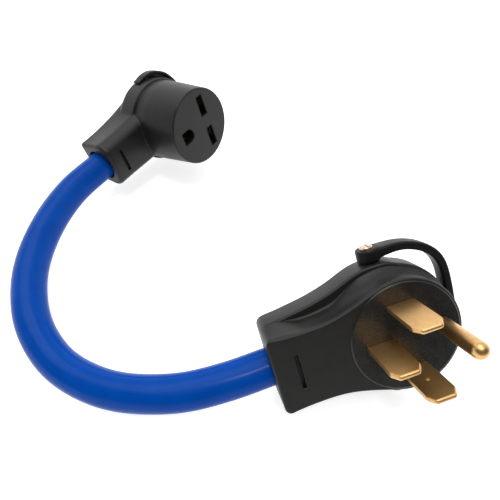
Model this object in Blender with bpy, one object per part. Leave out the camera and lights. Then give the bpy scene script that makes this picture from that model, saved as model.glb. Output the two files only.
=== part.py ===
"""Power adapter dogbone: a right-angle four-prong plug and a right-angle
three-hole socket end joined by a short, thick three-conductor cord.

Both moulded ends are drawn in their own frame and hung from an empty:
X runs along the body away from the cord, Z points the way the prongs (or the
slots) face, Y is across, and the face centre is the frame's origin.
World frame: +Z up, the whole adapter lying on the floor plane z = 0.
"""
import bpy
import bmesh
import math
from mathutils import Vector, Matrix, Euler

MM = 0.001

# ------------------------------------------------------------ placement (mm, deg)
PLUG_AT = (77.80, -82.82, 44.12)
PLUG_ROT = (52.54, -11.78, 16.63)
SOCKET_AT = (-21.55, 64.09, 42.86)
SOCKET_ROT = (73.42, -7.52, 55.2)
CORD_PATH = [(0.87, -95.37, 20.76), (-23.13, -100.17, 17.36), (-50.03, -97.57, 12.66),
             (-73.53, -87.47, 9.36), (-89.03, -73.77, 10.36), (-99.43, -56.37, 13.36),
             (-104.63, -33.47, 16.96), (-103.03, -5.67, 20.26), (-95.23, 21.03, 22.56)]

# ------------------------------------------------------------ plug end (mm)
PLUG_END_X = -59.9           # where the cord enters
PLUG_DEPTH = 27.5            # face to back
PLUG_FACE_R = 26.4
PLUG_FLANGE_R = 29.0
PLUG_FRONT = [(-59.9, 18.5), (-51.0, 17.7), (-43.0, 17.4), (-35.0, 17.6), (-28.0, 18.6),
              (-23.0, 19.9), (-18.0, 21.5), (-14.0, 22.9), (-10.0, 24.3), (-6.0, 25.6)]
PLUG_BACK = [(-59.9, 19.8), (-52.0, 20.2), (-45.0, 21.0), (-36.0, 22.3),
             (-29.0, 23.8), (-25.0, 24.9), (-20.0, 26.6), (-15.0, 28.5),
             (-11.0, 29.7), (-7.0, 30.3), (-3.0, 30.4), (3.0, 30.0), (8.0, 28.2)]
PLUG_SLOT_X = -48.75
PLUG_SLOT = (1.6, 16.2, 2.6)
PLUG_CORD_Z = -13.5
CARRIER_R = 25.2
CARRIER_FACE = 0.5           # how far the pin face stands proud
CARRIER_LIP = 3.0
STEM_R = 20.0
STEM_DEPTH = 16.5

BLADE_W = 12.7
BLADE_T = 2.2
BLADE_LEN = 27.1
BLADE_TIP_W = 8.6
BLADE_TIP_L = 4.1
HOT_Y = 15.5
NEUTRAL_X = -12.15
GROUND_X = 16.7
GROUND_D = 7.4
GROUND_LEN = 29.8

PIVOT_X, PIVOT_Z = -1.9, -20.8   # plug bail axis (runs along Y)
EYE_R = 5.3
EYE_IN, EYE_OUT = 30.7, 36.6
STRAP_T, STRAP_W = 4.2, 8.4
STRAP_PATH = [(-1.9, 33.7), (5.0, 34.2), (13.8, 33.7), (22.2, 30.5),
              (28.4, 25.1), (31.2, 18.3), (31.9, 9.0), (31.8, 0.0)]
SCREW_R = 1.90
EYE_HOLE_R = 1.97

# ------------------------------------------------------------ socket end (mm)
BARREL_R = 23.5
BARREL_BASE_R = 24.9
SOCKET_NECK_Z = -26.0
SOCKET_DEPTH = 53.0
SOCKET_END_X = -53.4
SOCKET_FLANGE_R = 26.2
SOCKET_FLANGE_Z = (-46.6, -34.0)
SOCKET_CORD_Z = -39.7
NECK_REAR = [(-53.4, 13.5), (-46.0, 13.7), (-38.0, 14.2), (-31.0, 15.0),
             (-26.0, 15.7), (-20.0, 16.8), (-13.0, 18.4), (-6.0, 20.2)]
NECK_FRONT = [(-53.4, 14.8), (-46.0, 14.8), (-38.0, 15.0), (-31.0, 15.3),
              (-26.0, 15.5), (-20.0, 15.9), (-13.0, 16.5), (-6.0, 17.0)]
SOCKET_SLOT_X = -44.3
SLOT_X, SLOT_Y = 6.45, 10.75
SLOT_W, SLOT_L = 5.1, 12.9
GND_X, GND_W, GND_L = -11.4, 9.0, 8.2
FACE_T = 3.0
BLOCK_R = 19.9
SLING_Z = -43.3              # socket bail axis (runs along Y through x = 0)
SLING_T, SLING_W = 1.8, 6.0
SLING_PATH = [(-2.2, 27.4), (1.0, 27.5), (5.0, 27.6), (9.6, 27.3), (13.1, 26.05), (16.5, 24.2),
              (19.5, 21.9), (21.9, 19.0), (24.6, 14.5), (26.7, 9.3), (27.8, 4.6), (28.1, 0.0)]
SLING_WEB_R = 26.5           # inner edge of the web behind the strap

# ------------------------------------------------------------ cord (mm)
CORD_IN_PLUG, CORD_IN_SOCKET = -58.1, -54.5   # the cord's path passes through these, along X
CORD_R = 8.8
CORD_BORE = 6.9
WIRE_R = 2.55
CORE_R = 1.45
WIRE_OFF = 3.35              # wire centre to cord centre
LAY = 150.0                  # length of one twist
FILL_R = 1.35
FILL_OFF = 4.75

for o in list(bpy.data.objects):
    bpy.data.objects.remove(o, do_unlink=True)


# ------------------------------------------------------------ helpers
def material(name, colour, rough, metal=0.0):
    m = bpy.data.materials.get(name)
    if m is None:
        m = bpy.data.materials.new(name)
        m.use_nodes = True
        b = m.node_tree.nodes["Principled BSDF"]
        b.inputs["Base Color"].default_value = (*colour, 1.0)
        b.inputs["Roughness"].default_value = rough
        b.inputs["Metallic"].default_value = metal
    return m


BLACK = ((0.018, 0.018, 0.019), 0.48)
HARD = ((0.022, 0.021, 0.020), 0.38)
BLUE = ((0.010, 0.075, 0.50), 0.40)
BRASS = ((0.62, 0.36, 0.15), 0.30, 1.0)


def empty(name, at, rot):
    e = bpy.data.objects.new(name, None)
    bpy.context.scene.collection.objects.link(e)
    e.location = Vector(at) * MM
    e.rotation_mode = 'XYZ'
    e.rotation_euler = [math.radians(a) for a in rot]
    return e


def node(name, bm, parent, look=None, at=(0, 0, 0), smooth=35.0):
    """Mesh in millimetres about `at`, hung from parent."""
    bmesh.ops.remove_doubles(bm, verts=bm.verts, dist=1e-5)
    bmesh.ops.recalc_face_normals(bm, faces=bm.faces)
    me = bpy.data.meshes.new(name)
    for v in bm.verts:
        v.co = (v.co - Vector(at)) * MM
    if smooth:
        for e in bm.edges:
            e.smooth = len(e.link_faces) == 2 and e.calc_face_angle(0.0) < math.radians(smooth)
        for f in bm.faces:
            f.smooth = True
    bm.to_mesh(me)
    bm.free()
    o = bpy.data.objects.new(name, me)
    bpy.context.scene.collection.objects.link(o)
    o.parent = parent
    o.location = Vector(at) * MM
    if look is not None:
        me.materials.append(material("mat_" + name, *look))
    return o


def cutter(name, bm, parent):
    o = node(name, bm, parent, smooth=0)
    o.hide_render = True
    o.display_type = 'WIRE'
    return o


def carve(target, tool, op='DIFFERENCE'):
    m = target.modifiers.new(tool.name, 'BOOLEAN')
    m.operation = op
    m.solver = 'EXACT'
    m.object = tool


def loft(rings, closed=False):
    """Skin equal-length closed loops; caps both ends unless closed."""
    bm = bmesh.new()
    rows = [[bm.verts.new(p) for p in ring] for ring in rings]
    n = len(rows[0])
    pairs = list(zip(rows, rows[1:]))
    if closed:
        pairs.append((rows[-1], rows[0]))
    for a, b in pairs:
        for i in range(n):
            j = (i + 1) % n
            bm.faces.new((a[i], a[j], b[j], b[i]))
    if not closed:
        bm.faces.new(rows[0])
        bm.faces.new(list(reversed(rows[-1])))
    return bm


def flat_faced(bm):
    """Split the skin's twisted quads so that every face is flat."""
    bmesh.ops.triangulate(bm, faces=[f for f in bm.faces if len(f.verts) == 4])
    return bm


def cylinder(c, axis, r, length, n=24, r2=None):
    """Cylinder centred at c along axis."""
    bm = bmesh.new()
    bmesh.ops.create_cone(bm, cap_ends=True, segments=n, radius1=r,
                          radius2=r if r2 is None else r2, depth=length)
    q = Vector((0, 0, 1)).rotation_difference(Vector(axis)).to_matrix().to_4x4()
    bm.transform(Matrix.Translation(c) @ q)
    return bm


def block(lo, hi):
    bm = bmesh.new()
    bmesh.ops.create_cube(bm, size=1.0)
    lo, hi = Vector(lo), Vector(hi)
    for v in bm.verts:
        v.co = Vector([(lo[k] + hi[k]) / 2 + v.co[k] * (hi[k] - lo[k]) for k in range(3)])
    return bm


def turned(profile, c, axis, n=24):
    """Solid of revolution from (radius, height) pairs, low to high."""
    rings = []
    for r, h in profile:
        rings.append([(r * math.cos(2 * math.pi * i / n), r * math.sin(2 * math.pi * i / n), h)
                      for i in range(n)])
    bm = loft(rings)
    q = Vector((0, 0, 1)).rotation_difference(Vector(axis)).to_matrix().to_4x4()
    bm.transform(Matrix.Translation(c) @ q)
    return bm


def tube(c, axis, r_out, r_in, length, n=16):
    h = length / 2
    prof = [(r_in, -h), (r_out, -h), (r_out, h), (r_in, h)]
    rings = []
    for i in range(n):
        a = 2 * math.pi * i / n
        rings.append([(r * math.cos(a), r * math.sin(a), z) for r, z in prof])
    bm = loft(rings, closed=True)
    q = Vector((0, 0, 1)).rotation_difference(Vector(axis)).to_matrix().to_4x4()
    bm.transform(Matrix.Translation(c) @ q)
    return bm


def prism(poly, axis, lo, hi):
    """Extrude a polygon. axis 'y': poly is (x, z); axis 'z': poly is (x, y)."""
    if axis == 'y':
        return loft([[(x, h, z) for x, z in poly] for h in (lo, hi)])
    return loft([[(x, y, h) for x, y in poly] for h in (lo, hi)])


def hermite(pts, x):
    """Smooth value at x through (x, y) stations."""
    n = len(pts)
    if x <= pts[0][0]:
        return pts[0][1]
    if x >= pts[-1][0]:
        return pts[-1][1]

    def slope(i):
        if i == 0 or i == n - 1:
            k = 0 if i == 0 else n - 2
            return (pts[k + 1][1] - pts[k][1]) / (pts[k + 1][0] - pts[k][0])
        return (pts[i + 1][1] - pts[i - 1][1]) / (pts[i + 1][0] - pts[i - 1][0])
    for i in range(n - 1):
        x0, x1 = pts[i][0], pts[i + 1][0]
        if x0 <= x <= x1:
            t = (x - x0) / (x1 - x0)
            h = x1 - x0
            return ((2 * t ** 3 - 3 * t ** 2 + 1) * pts[i][1] + (t ** 3 - 2 * t ** 2 + t) * h * slope(i)
                    + (3 * t ** 2 - 2 * t ** 3) * pts[i + 1][1] + (t ** 3 - t ** 2) * h * slope(i + 1))


def outline(stations, radius, corner, n_flank=10, n_arc=11, n_corner=4):
    """Teardrop outline: rounded neck end, smooth flanks, round far end.
    Returned counter-clockwise as (x, y), mirrored about y = 0."""
    x0, w0 = stations[0]
    xt, wt = stations[-1]
    up = [(x0, 0.3 * w0)]
    for i in range(n_corner + 1):
        a = math.pi - math.pi / 2 * i / n_corner
        up.append((x0 + corner + corner * math.cos(a), w0 - corner + corner * math.sin(a)))
    xs = x0 + corner
    for i in range(1, n_flank + 1):
        x = xs + (xt - xs) * i / n_flank
        up.append((x, hermite(stations, x)))
    a0 = math.acos(max(-1.0, min(1.0, xt / radius)))
    for i in range(1, n_arc + 1):
        a = a0 * (1 - i / n_arc)
        up.append((radius * math.cos(a), radius * math.sin(a)))
    low = [(x, -y) for x, y in up[:-1]]
    return low + list(reversed(up))


def inset(loop, d):
    """Shift each point of a counter-clockwise loop inwards by d (number or list)."""
    n = len(loop)
    out = []
    for i in range(n):
        p, a, b = Vector(loop[i]), Vector(loop[i - 1]), Vector(loop[(i + 1) % n])
        t = (b - a).normalized()
        k = d[i] if isinstance(d, (list, tuple)) else d
        out.append((p.x - t.y * k, p.y + t.x * k))
    return out


def ring(loop, z):
    return [(x, y, z) for x, y in loop]


def blend(a, b, t):
    return [((1 - t) * p[0] + t * q[0], (1 - t) * p[1] + t * q[1]) for p, q in zip(a, b)]


def sweep_frame(pts):
    """Tangents and a twist-free normal for each point of a polyline."""
    n = len(pts)
    tans = []
    for i in range(n):
        a, b = pts[max(0, i - 1)], pts[min(n - 1, i + 1)]
        tans.append((b - a).normalized())
    ref = Vector((0, 0, 1))
    nor = (ref - tans[0] * ref.dot(tans[0])).normalized()
    nors = [nor]
    for i in range(1, n):
        q = tans[i - 1].rotation_difference(tans[i])
        nor = q @ nor
        nor = (nor - tans[i] * nor.dot(tans[i])).normalized()
        nors.append(nor)
    return tans, nors


def circle_rings(pts, r, n, tans=None, nors=None):
    if tans is None:
        tans, nors = sweep_frame(pts)
    rings = []
    for p, t, u in zip(pts, tans, nors):
        v = t.cross(u)
        rings.append([p + (u * math.cos(2 * math.pi * i / n) + v * math.sin(2 * math.pi * i / n)) * r
                      for i in range(n)])
    return rings


def pipe(pts, r_out, r_in, n):
    """Open-ended tube along a path, one closed skin."""
    tans, nors = sweep_frame(pts)
    outer = circle_rings(pts, r_out, n, tans, nors)
    inner = circle_rings(pts, r_in, n, tans, nors)
    bm = bmesh.new()
    ro = [[bm.verts.new(p) for p in r] for r in outer]
    ri = [[bm.verts.new(p) for p in r] for r in inner]
    for k in range(len(pts) - 1):
        for i in range(n):
            j = (i + 1) % n
            bm.faces.new((ro[k][i], ro[k][j], ro[k + 1][j], ro[k + 1][i]))
            bm.faces.new((ri[k][j], ri[k][i], ri[k + 1][i], ri[k + 1][j]))
    for k in (0, -1):
        for i in range(n):
            j = (i + 1) % n
            bm.faces.new((ro[k][i], ri[k][i], ri[k][j], ro[k][j]))
    return bm


# ------------------------------------------------------------ frames
plug = empty("plug_frame", PLUG_AT, PLUG_ROT)
socket = empty("socket_frame", SOCKET_AT, SOCKET_ROT)
world = empty("world_frame", (0, 0, 0), (0, 0, 0))
bpy.context.view_layer.update()
PM = Matrix.Translation(Vector(PLUG_AT)) @ Euler([math.radians(a) for a in PLUG_ROT]).to_matrix().to_4x4()
SM = Matrix.Translation(Vector(SOCKET_AT)) @ Euler([math.radians(a) for a in SOCKET_ROT]).to_matrix().to_4x4()

# ------------------------------------------------------------ plug body
front = outline(PLUG_FRONT, PLUG_FACE_R, 3.2)
back = outline(PLUG_BACK, PLUG_FLANGE_R, 3.6)
scoop = []
for x, y in front:
    s = min(1.0, max(0.0, (x + 56.0) / 40.0))
    scoop.append(s * s * (3 - 2 * s) * 1.0 + 0.05)


def scooped(k):
    return inset(front, [k * s for s in scoop])


shell = [ring(inset(front, 0.75), 0.0), ring(inset(front, 0.22), -0.18), ring(front, -0.8),
         ring(scooped(0.25), -3.0), ring(scooped(0.8), -6.0), ring(scooped(1.15), -9.0),
         ring(scooped(1.2), -11.8), ring(blend(scooped(1.1), inset(back, 0.9), 0.55), -12.5),
         ring(inset(back, 0.75), -12.8), ring(back, -13.7), ring(back, -24.6),
         ring(inset(back, 0.7), -26.6), ring(inset(back, 2.2), -PLUG_DEPTH)]
plug_body = node("plug_body", flat_faced(loft(shell)), plug, BLACK)
carve(plug_body, cutter("cut_plug_seat", cylinder((0, 0, -CARRIER_LIP / 2 + 0.85), (0, 0, 1), CARRIER_R + 0.3, CARRIER_LIP + 2.3, 48), plug))
carve(plug_body, cutter("cut_plug_well", cylinder((0, 0, -13.6), (0, 0, 1), STEM_R + 0.3, 21.4, 40), plug))
carve(plug_body, cutter("cut_plug_throat", block((-45.5, -9.3, -24.2), (-10.0, 9.3, -4.4)), plug))
carve(plug_body, cutter("cut_plug_bore", cylinder((-52.5, 0, PLUG_CORD_Z), (1, 0, 0), CORD_R + 0.3, 16.0, 28), plug))
sx, sy, sz = PLUG_SLOT
carve(plug_body, cutter("cut_plug_window", block((PLUG_SLOT_X - sx / 2, -sy / 2, -sz), (PLUG_SLOT_X + sx / 2, sy / 2, 1.0)), plug))
for s in (1, -1):
    carve(plug_body, cutter("cut_plug_screw_hole_%s" % ("upper" if s > 0 else "lower"),
                            cylinder((PIVOT_X, s * 28.2, PIVOT_Z), (0, 1, 0), SCREW_R + 0.25, 9.4, 16), plug))

# ------------------------------------------------------------ pin carrier
carrier = node("plug_pin_carrier", turned([
    (STEM_R - 0.5, -STEM_DEPTH), (STEM_R, -STEM_DEPTH + 0.5), (STEM_R, -CARRIER_LIP), (CARRIER_R, -CARRIER_LIP),
    (CARRIER_R, CARRIER_FACE - 0.5), (CARRIER_R - 0.15, CARRIER_FACE - 0.15), (CARRIER_R - 0.6, CARRIER_FACE)],
    (0, 0, 0), (0, 0, 1), 48), plug, HARD)
GAP = 0.25
for tag, (cx, cy) in {"hot_upper": (0, HOT_Y), "hot_lower": (0, -HOT_Y), "neutral": (NEUTRAL_X, 0)}.items():
    carve(carrier, cutter("cut_carrier_" + tag, block((cx - BLADE_W / 2 - GAP, cy - BLADE_T / 2 - GAP, -20),
                                                      (cx + BLADE_W / 2 + GAP, cy + BLADE_T / 2 + GAP, 3)), plug))
GROUND_X_TAIL = GROUND_X - 1.5
carve(carrier, cutter("cut_carrier_ground", cylinder((GROUND_X, 0, -0.25), (0, 0, 1), GROUND_D / 2 + GAP, 6.2, 20), plug))
carve(carrier, cutter("cut_carrier_ground_tail", cylinder((GROUND_X_TAIL, 0, -10.6), (0, 0, 1), 2.6 + GAP, 18.0, 16), plug))


# ------------------------------------------------------------ prongs
def blade(name, cx, cy, tail_z, tail_w):
    w, t = BLADE_W / 2, BLADE_TIP_W / 2
    L = BLADE_LEN
    z0 = -STEM_DEPTH - 0.6
    poly = [(cx - w, z0), (cx - tail_w, z0), (cx - tail_w, tail_z), (cx + tail_w, tail_z),
            (cx + tail_w, z0), (cx + w, z0), (cx + w, L - BLADE_TIP_L), (cx + t, L), (cx - t, L),
            (cx - w, L - BLADE_TIP_L)]
    if tail_z is None:
        poly = [(cx - w, z0), (cx + w, z0)] + poly[6:]
    bm = prism(poly, 'y', cy - BLADE_T / 2, cy + BLADE_T / 2)
    o = node(name, bm, plug, BRASS, at=(cx, cy, 0), smooth=0)
    m = o.modifiers.new("edge", 'BEVEL')
    m.width = 0.35 * MM
    m.segments = 1
    m.limit_method = 'ANGLE'
    m.angle_limit = math.radians(40)
    return o


blade("plug_blade_hot_upper", 0, HOT_Y, -23.4, 4.0)
low_blade = blade("plug_blade_hot_lower", 0, -HOT_Y, -23.4, 4.0)
blade("plug_blade_neutral", NEUTRAL_X, 0, None, 4.0)
carve(low_blade, cutter("cut_blade_hole", cylinder((0, -HOT_Y, 13.0), (0, 1, 0), 0.9, 6.0, 12), plug))

rg = GROUND_D / 2
pin = [(rg - 0.3, -2.9), (rg, -2.6)]
pin += [(rg, GROUND_LEN - 3.2)]
for i in range(1, 6):
    a = math.radians(15 * i)
    pin.append((rg - 3.2 * (1 - math.cos(a)) * 0.92, GROUND_LEN - 3.2 + 3.2 * math.sin(a)))
pin.append((0.7, GROUND_LEN))
gp = turned(pin, (GROUND_X, 0, 0), (0, 0, 1), 24)
ground = node("plug_ground_pin", gp, plug, BRASS, at=(GROUND_X, 0, 0))
carve(ground, cutter("tool_ground_tail", turned([(2.4, -23.2), (2.6, -23.0), (2.6, -2.0)],
                                                (GROUND_X_TAIL, 0, 0), (0, 0, 1), 16), plug), 'UNION')


# ------------------------------------------------------------ crimp sleeves in the plug
def sleeve(name, parent, c, length=8.4):
    return node(name, tube(c, (1, 0, 0), 3.0, 1.8, length, 12), parent, ((0.55, 0.55, 0.57), 0.35, 1.0), at=c)


SZ = -20.6
sleeve("plug_crimp_hot_upper", plug, (0.0, 10.9, SZ))
sleeve("plug_crimp_hot_lower", plug, (0.0, -10.9, SZ))
sleeve("plug_crimp_ground", plug, (8.0, 0.0, SZ))


# ------------------------------------------------------------ plug bail (swings about Y)
def smooth_path(points, n):
    """Catmull-Rom through the points, n samples, even by length."""
    P = [Vector(p) for p in points]
    P = [2 * P[0] - P[1]] + P + [2 * P[-1] - P[-2]]
    fine = []
    for i in range(1, len(P) - 2):
        for s in range(16):
            t = s / 16
            a, b, c, d = P[i - 1], P[i], P[i + 1], P[i + 2]
            fine.append(0.5 * (2 * b + (c - a) * t + (2 * a - 5 * b + 4 * c - d) * t * t
                               + (3 * b - a - 3 * c + d) * t ** 3))
    fine.append(P[-2])
    acc = [0.0]
    for a, b in zip(fine, fine[1:]):
        acc.append(acc[-1] + (b - a).length)
    out = []
    k = 0
    for i in range(n):
        s = acc[-1] * i / (n - 1)
        while k < len(acc) - 2 and acc[k + 1] < s:
            k += 1
        t = (s - acc[k]) / max(1e-9, acc[k + 1] - acc[k])
        out.append(fine[k].lerp(fine[k + 1], t))
    return out


def strap(points, thick, width, z, n, tip=None):
    """Flat band bent in the XY plane, width along Z, soft corners."""
    path = smooth_path([(x, y, z) for x, y in points], n)
    rings = []
    for i, p in enumerate(path):
        a, b = path[max(0, i - 1)], path[min(n - 1, i + 1)]
        t = (b - a).normalized()
        u = Vector((t.y, -t.x, 0))
        k = 1.0
        if tip:
            e = min(i, n - 1 - i) / (n * 0.22)
            k = tip + (1 - tip) * min(1.0, e)
        h, w = thick * k / 2, width / 2
        c = min(0.8, h * 0.6)
        sec = [(-h, -w + c), (-h + c, -w), (h - c, -w), (h, -w + c), (h, w - c), (h - c, w), (-h + c, w), (-h, w - c)]
        rings.append([p + u * s + Vector((0, 0, q)) for s, q in sec])
    return loft(rings)


half = STRAP_PATH
full = half + [(x, -y) for x, y in reversed(half[:-1])]
bail_bm = strap(full, STRAP_T, STRAP_W, PIVOT_Z, 33, tip=1.25)
plug_bail = node("plug_bail", bail_bm, plug, BLACK, at=(PIVOT_X, 0, PIVOT_Z))
for s, tag in ((1, "upper"), (-1, "lower")):
    mid = s * (EYE_IN + EYE_OUT) / 2
    h = (EYE_OUT - EYE_IN) / 2
    eye = turned([(EYE_R - 0.7, -h), (EYE_R, -h + 0.7), (EYE_R, h - 0.9), (EYE_R - 0.35, h - 0.3), (EYE_R - 1.1, h)]
                 if s > 0 else
                 [(EYE_R - 1.1, -h), (EYE_R - 0.35, -h + 0.3), (EYE_R, -h + 0.9), (EYE_R, h - 0.7), (EYE_R - 0.7, h)],
                 (PIVOT_X, mid, PIVOT_Z), (0, 1, 0), 24)
    carve(plug_bail, cutter("tool_eye_" + tag, eye, plug), 'UNION')
for s, tag in ((1, "upper"), (-1, "lower")):
    carve(plug_bail, cutter("cut_eye_hole_" + tag, cylinder((PIVOT_X, s * 33.0, PIVOT_Z), (0, 1, 0), EYE_HOLE_R, 12.0, 24), plug))

for s, tag in ((1, "upper"), (-1, "lower")):
    prof = [(SCREW_R - 0.4, 0.0), (SCREW_R, 0.5), (SCREW_R, 11.0), (3.1, 11.0), (3.15, 11.6), (2.7, 12.3), (1.5, 12.7)]
    scr = turned(prof, (PIVOT_X, s * (EYE_OUT + 0.12 - 11.0), PIVOT_Z), (0, s, 0), 24)
    o = node("plug_bail_screw_" + tag, scr, plug, ((0.72, 0.44, 0.24), 0.28, 1.0), at=(PIVOT_X, s * EYE_OUT, PIVOT_Z))
    top = EYE_OUT + 0.12 + 1.7
    c1 = block((PIVOT_X - 0.45, min(s * (top - 0.9), s * (top + 1)), PIVOT_Z - 1.9), (PIVOT_X + 0.45, max(s * (top - 0.9), s * (top + 1)), PIVOT_Z + 1.9))
    carve(o, cutter("cut_screw_slot_" + tag, c1, plug))

# ------------------------------------------------------------ socket body
def neck_loop(t, pull=0.0, end_in=0.0, n=9):
    """Neck outline at one height: t of the way from the rear widths to the front ones,
    drawn in by pull at the sides and end_in at the cord end."""
    x0, x1, c = SOCKET_END_X + end_in, -6.0, 3.2

    def w(x):
        return (1 - t) * hermite(NECK_REAR, x) + t * hermite(NECK_FRONT, x) - pull
    up = [(x0, 0.35 * w(x0))]
    for i in range(5):
        a = math.pi - math.pi / 2 * i / 4
        up.append((x0 + c + c * math.cos(a), w(x0) - c + c * math.sin(a)))
    for i in range(1, n + 1):
        x = x0 + c + (x1 - x0 - c) * i / n
        up.append((x, w(x)))
    up.append((x1, 0.4 * w(x1)))
    return [(x, -y) for x, y in up] + list(reversed(up))


rings = [ring(neck_loop(0.0, 2.2, 2.0), -SOCKET_DEPTH), ring(neck_loop(0.0, 0.8, 0.8), -SOCKET_DEPTH + 0.8),
         ring(neck_loop(0.0), -SOCKET_DEPTH + 2.6), ring(neck_loop(0.2), -44.0), ring(neck_loop(0.6), -38.0),
         ring(neck_loop(1.0, 0.15, 0.1), -33.2), ring(neck_loop(1.0, 0.9, 0.3), -30.6),
         ring(neck_loop(1.0, 2.3, 0.6), -28.5), ring(neck_loop(1.0, 4.1, 1.1), -27.0),
         ring(neck_loop(1.0, 6.4, 1.9), SOCKET_NECK_Z)]
socket_body = node("socket_body", flat_faced(loft(rings)), socket, BLACK)
FR = SOCKET_FLANGE_R
F0, F1 = SOCKET_FLANGE_Z
barrel = turned([(18.6, -SOCKET_DEPTH), (19.8, -SOCKET_DEPTH + 0.4), (FR - 0.4, F0 - 0.5), (FR, F0), (FR, F1 - 0.7),
                 (FR - 0.6, F1), (BARREL_BASE_R, F1 + 0.1), (BARREL_BASE_R, -24.0), (BARREL_R + 0.05, -1.3),
                 (BARREL_R - 0.22, -0.45), (BARREL_R - 0.8, 0.0)], (0, 0, 0), (0, 0, 1), 48)
carve(socket_body, cutter("tool_socket_barrel", barrel, socket), 'UNION')
carve(socket_body, cutter("cut_socket_window", block((SOCKET_SLOT_X - 1.1, -7.3, SOCKET_NECK_Z - 2.4), (SOCKET_SLOT_X + 1.1, 7.3, SOCKET_NECK_Z + 2)), socket))
carve(socket_body, cutter("cut_socket_well", cylinder((0, 0, -FACE_T - 21.2), (0, 0, 1), BLOCK_R + 0.4, 42.4, 40), socket))
carve(socket_body, cutter("cut_socket_throat", block((-43.5, -8.6, -47.4), (-8.0, 8.6, -31.4)), socket))
carve(socket_body, cutter("cut_socket_bore", cylinder((-49.0, 0, SOCKET_CORD_Z), (1, 0, 0), CORD_R + 0.3, 15.0, 28), socket))
for s, tag in ((1, "upper"), (-1, "lower")):
    carve(socket_body, cutter("cut_face_slot_" + tag, block((SLOT_X - SLOT_W / 2, s * SLOT_Y - SLOT_L / 2, -FACE_T - 1),
                                                            (SLOT_X + SLOT_W / 2, s * SLOT_Y + SLOT_L / 2, 1)), socket))
    carve(socket_body, cutter("cut_trunnion_" + tag, cylinder((0, s * 26.0, SLING_Z), (0, 1, 0), 2.07, 6.4, 20), socket))


def d_shape(cx, w, l, grow=0.0, n=8):
    """D opening: flat on -X, rounded on +X."""
    w, l = w + 2 * grow, l + 2 * grow
    x0, x1 = cx - w / 2, cx + w / 2
    r = l / 2
    bulge = min(r, w * 0.45)
    pts = [(x0, l / 2), (x0, -l / 2)]
    for i in range(n + 1):
        a = -math.pi / 2 + math.pi * i / n
        pts.append((x1 - bulge + bulge * math.cos(a), r * math.sin(a)))
    return pts


carve(socket_body, cutter("cut_face_ground", prism(d_shape(GND_X, GND_W, GND_L), 'z', -FACE_T - 1, 1), socket))

# ------------------------------------------------------------ contact block and contacts
contact_block = node("socket_contact_block", turned([
    (BLOCK_R - 0.5, -28.0), (BLOCK_R, -27.5), (BLOCK_R, -FACE_T - 0.8), (BLOCK_R - 0.5, -FACE_T - 0.3)],
    (0, 0, 0), (0, 0, 1), 40), socket, HARD)
for s, tag in ((1, "upper"), (-1, "lower")):
    carve(contact_block, cutter("cut_pocket_" + tag, block((SLOT_X - 3.6, s * SLOT_Y - 6.7 + (0 if s > 0 else 0), -30),
                                                           (SLOT_X + 3.6, s * SLOT_Y + 6.7, 0)), socket))
carve(contact_block, cutter("cut_pocket_ground", cylinder((GND_X + 0.4, 0, -15), (0, 0, 1), 5.0, 30, 24), socket))


def leaf_contact(name, cy):
    """Two sprung leaves joined by a bridge, with a tail for the wire."""
    x = SLOT_X
    prof = [(-3.0, -6.0), (-2.2, -6.0), (-1.0, -9.0), (-1.6, -16.0), (-1.6, -26.2), (1.6, -26.2), (1.6, -16.0),
            (1.0, -9.0), (2.2, -6.0), (3.0, -6.0), (1.8, -9.2), (2.4, -16.0), (2.4, -27.0),
            (0.6, -27.0), (0.6, -38.8), (-0.6, -38.8), (-0.6, -27.0), (-2.4, -27.0), (-2.4, -16.0), (-1.8, -9.2)]
    poly = [(x + px, pz) for px, pz in prof]
    return node(name, prism(poly, 'y', cy - 5.8, cy + 5.8), socket, BRASS, at=(x, cy, 0), smooth=0)


leaf_contact("socket_contact_hot_upper", SLOT_Y)
leaf_contact("socket_contact_hot_lower", -SLOT_Y)
# ground contact: an open ring of strip that grips the round pin
seg = 14
gx = GND_X + 0.4
outer, inner = [], []
for i in range(seg + 1):
    a = math.radians(20 + 320 * i / seg)
    outer.append((gx + 4.3 * math.cos(a), 4.3 * math.sin(a)))
    inner.append((gx + 3.5 * math.cos(a), 3.5 * math.sin(a)))
gc = node("socket_contact_ground", prism(outer + inner[::-1], 'z', -28.6, -7.0), socket, BRASS, at=(gx, 0, 0), smooth=0)
carve(gc, cutter("tool_ground_strip", block((gx - 4.2, -2.2, -38.8), (gx - 3.2, 2.2, -27.0)), socket), 'UNION')

TZ = -35.8
sleeve("socket_crimp_hot_upper", socket, (SLOT_X - 5.2, SLOT_Y, TZ))
sleeve("socket_crimp_hot_lower", socket, (SLOT_X - 5.2, -SLOT_Y, TZ))
sleeve("socket_crimp_ground", socket, (gx - 8.8, 0.0, TZ))

# ------------------------------------------------------------ socket bail (swings about Y)
sling_full = SLING_PATH + [(x, -y) for x, y in reversed(SLING_PATH[:-1])]
sling = node("socket_bail", strap(sling_full, SLING_T, SLING_W, SLING_Z, 45), socket, BLACK, at=(0, 0, SLING_Z))
web_mid = smooth_path([(x, y, 0) for x, y in sling_full], 41)[1:-1]
web_in = [(SLING_WEB_R * math.cos(a), SLING_WEB_R * math.sin(a)) for a in (math.atan2(p.y, p.x) for p in web_mid)]
web = prism([(p.x, p.y) for p in web_mid] + web_in[::-1], 'z', SLING_Z - SLING_W / 2 + 0.25, SLING_Z + 0.5)
carve(sling, cutter("tool_sling_web", web, socket), 'UNION')
for s, tag in ((1, "upper"), (-1, "lower")):
    o = cutter("tool_trunnion_" + tag, cylinder((0, s * 25.5, SLING_Z), (0, 1, 0), 2.0, 4.2, 20), socket)
    carve(sling, o, 'UNION')

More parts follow.
